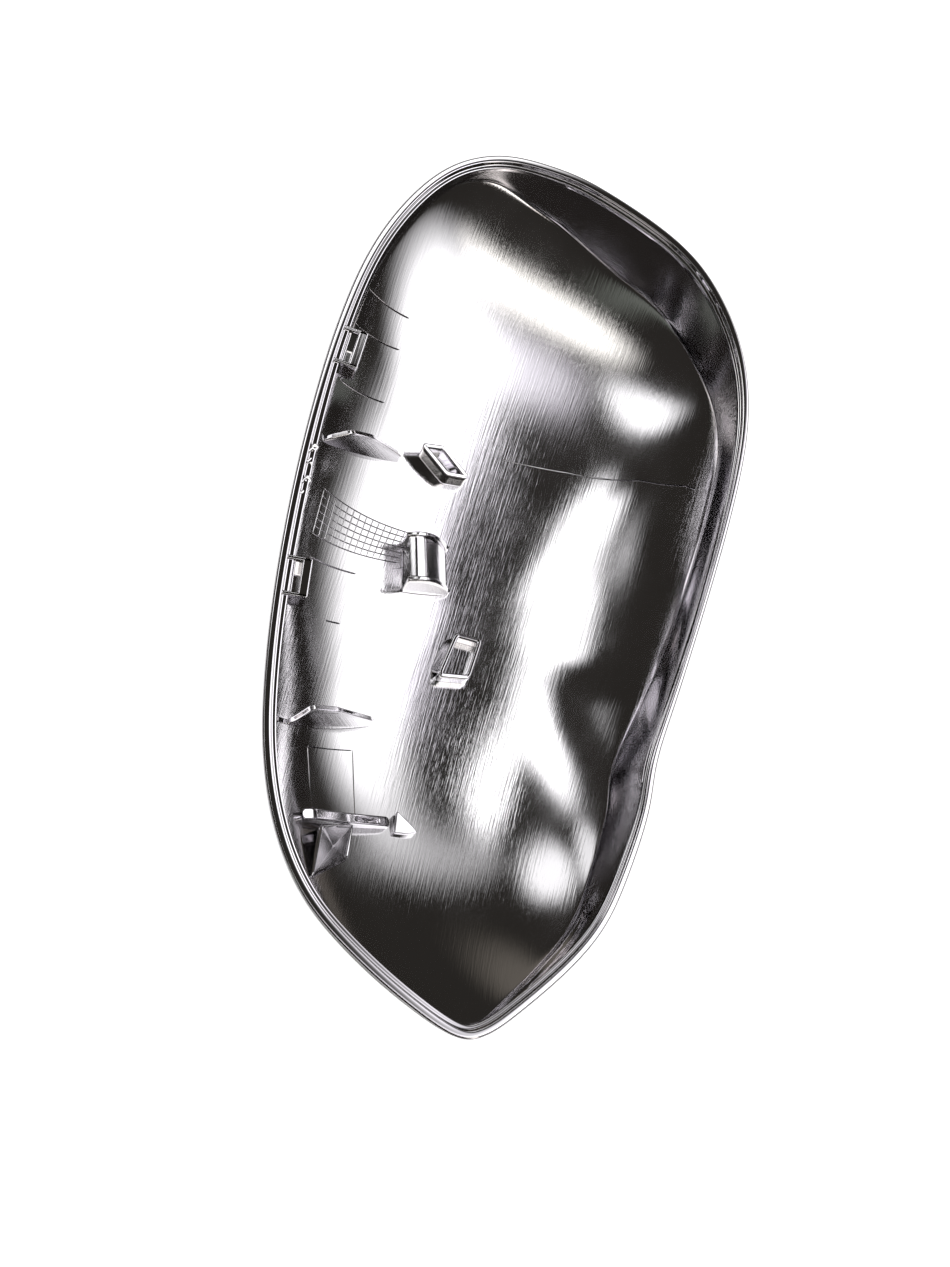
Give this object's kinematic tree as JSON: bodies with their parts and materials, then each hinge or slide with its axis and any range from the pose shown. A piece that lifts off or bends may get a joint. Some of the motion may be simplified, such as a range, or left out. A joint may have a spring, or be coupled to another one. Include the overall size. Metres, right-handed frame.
{
  "type": "wing mirror cover",
  "caption": "Chrome-plated cover of a right-hand wing mirror: a deep oval shell with snap clips, fins and sockets inside for fastening it to the mirror housing.",
  "frame": {"origin": "centre of the bounding box's bottom face, under the middle of the cover as it lies on its back", "axes": "+X towards the big round end, +Y towards the edge with the snap clips, +Z out of the open side"},
  "size_m": [0.24, 0.119, 0.062],
  "materials": {
    "chrome_plated_abs": "bright chrome plating over moulded ABS"
  },
  "bodies": {
    "root": {"mirror_cover": "chrome_plated_abs"}
  },
  "joints": []
}
